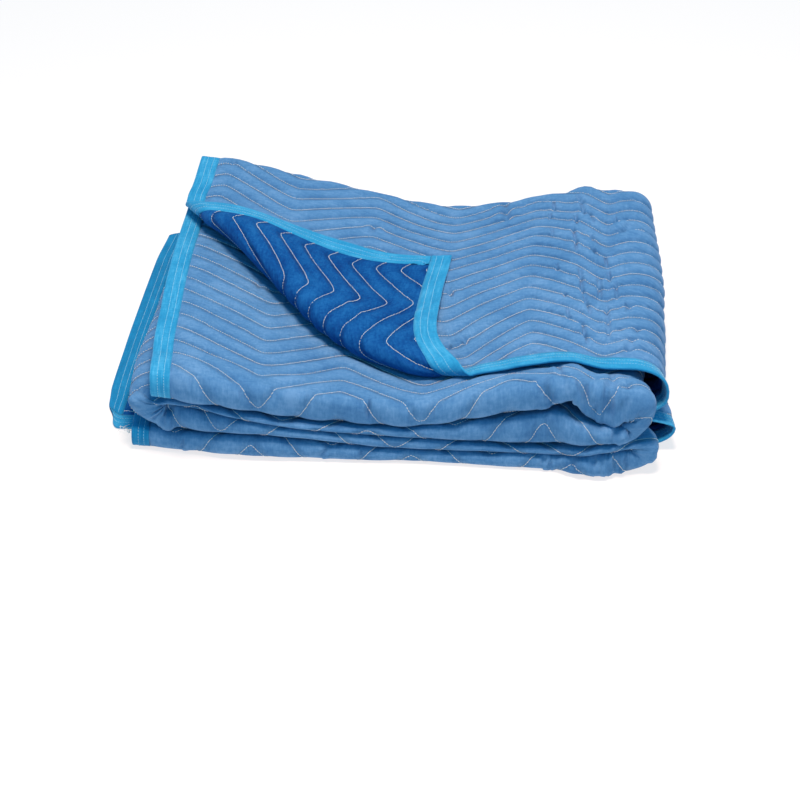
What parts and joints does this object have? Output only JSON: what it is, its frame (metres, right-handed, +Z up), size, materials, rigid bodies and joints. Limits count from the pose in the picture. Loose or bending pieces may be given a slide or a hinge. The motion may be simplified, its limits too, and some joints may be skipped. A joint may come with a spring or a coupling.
{
  "type": "moving blanket",
  "caption": "Quilted moving blanket with bound edges, folded into a flat stack of plies, one corner of the top ply turned back.",
  "frame": {"origin": "middle of the folded blanket's footprint, on the surface it lies on", "axes": "+X to the right along the front rolls, +Y to the back folds, +Z up"},
  "size_m": [0.5552, 0.4326, 0.1155],
  "materials": {
    "quilted_cloth": "matte woven polycotton",
    "binding_tape": "matte woven tape"
  },
  "bodies": {
    "root": {"quilt_panel": "quilted_cloth", "left_binding": "binding_tape", "right_binding": "binding_tape", "inner_binding": "binding_tape", "outer_binding": "binding_tape"}
  },
  "joints": []
}
